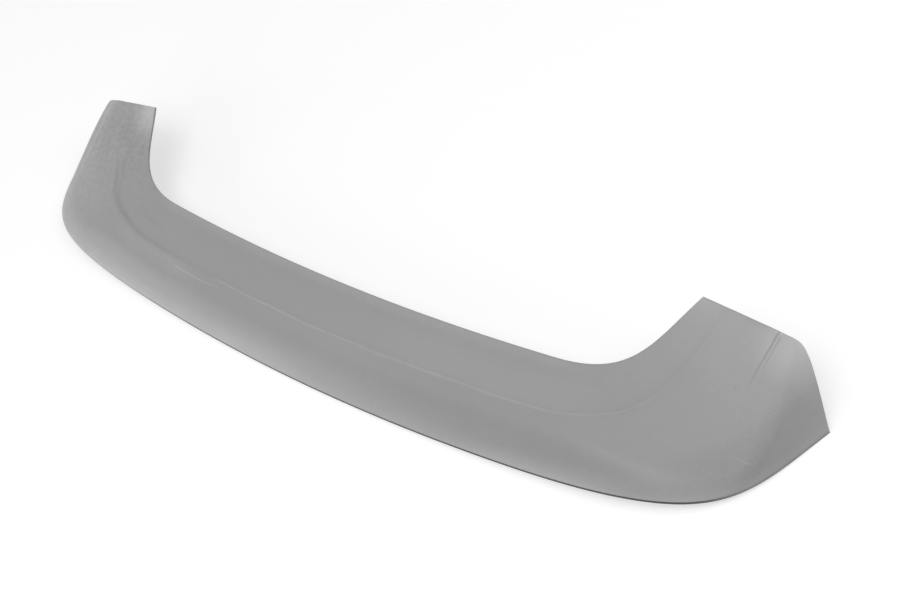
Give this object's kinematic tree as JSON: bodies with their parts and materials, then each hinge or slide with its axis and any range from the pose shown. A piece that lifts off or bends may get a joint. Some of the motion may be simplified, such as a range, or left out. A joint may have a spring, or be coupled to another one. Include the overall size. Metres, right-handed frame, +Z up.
{
  "type": "car spoiler",
  "caption": "Rear spoiler skin in grey primer: a swept blade with a soft crease, two forward legs and sides that roll down to outer corners, open underneath.",
  "frame": {"origin": "on the floor plane, below the middle of the spoiler's outline; the floor plane touches the two outer corners and the middle of the trailing edge", "axes": "+X across the car to the right leg, +Y forward to the leg tips, +Z up from the floor plane"},
  "size_m": [1.2, 0.2464, 0.0787],
  "materials": {
    "primer_skin": "satin grey primer"
  },
  "bodies": {
    "root": {"spoiler_shell": "primer_skin"}
  },
  "joints": []
}
